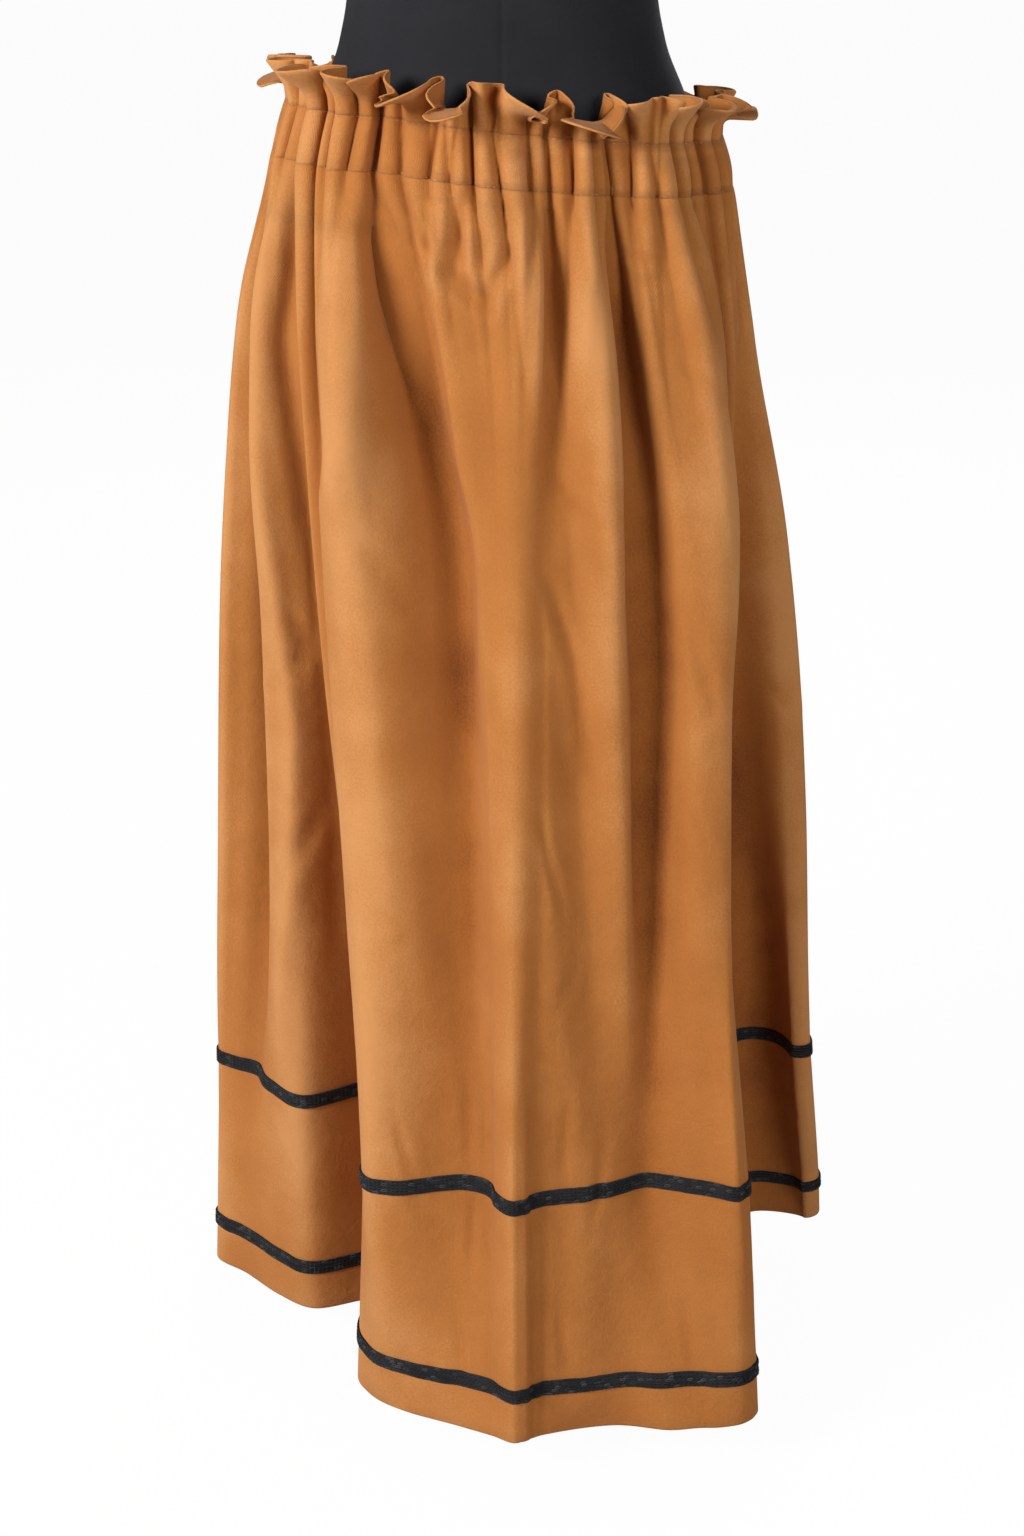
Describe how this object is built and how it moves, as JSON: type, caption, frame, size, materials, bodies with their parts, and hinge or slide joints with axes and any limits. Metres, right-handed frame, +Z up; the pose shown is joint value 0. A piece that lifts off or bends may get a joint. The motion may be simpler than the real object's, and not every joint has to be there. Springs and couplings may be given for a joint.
{
  "type": "embroidered skirt on a limbless dress form",
  "caption": "Long gathered ochre cotton skirt with a frilled elastic waist and black chain-stitched bands near the hem, standing on a limbless black dress form.",
  "frame": {"origin": "middle of the base plate's underside, on the dress form's axis", "axes": "+Z up along the form's axis, -Y towards the skirt's front, +X to the right of someone who faces the front"},
  "size_m": [0.5643, 0.5629, 1.6383],
  "materials": {
    "ochre_cotton": "brushed twill",
    "black_thread": "twisted cotton",
    "form_jersey": "fine knit",
    "cap_paint": "satin",
    "stand_steel": "satin powder coat"
  },
  "bodies": {
    "root": {"front_panel": "ochre_cotton", "back_panel": "ochre_cotton", "waist_casing": "ochre_cotton", "heading_frill": "ochre_cotton", "upper_braid": "black_thread", "lower_braid": "black_thread", "form_torso": "form_jersey", "form_neck_cap": "cap_paint", "form_pole": "stand_steel", "form_base": "stand_steel"}
  },
  "joints": []
}
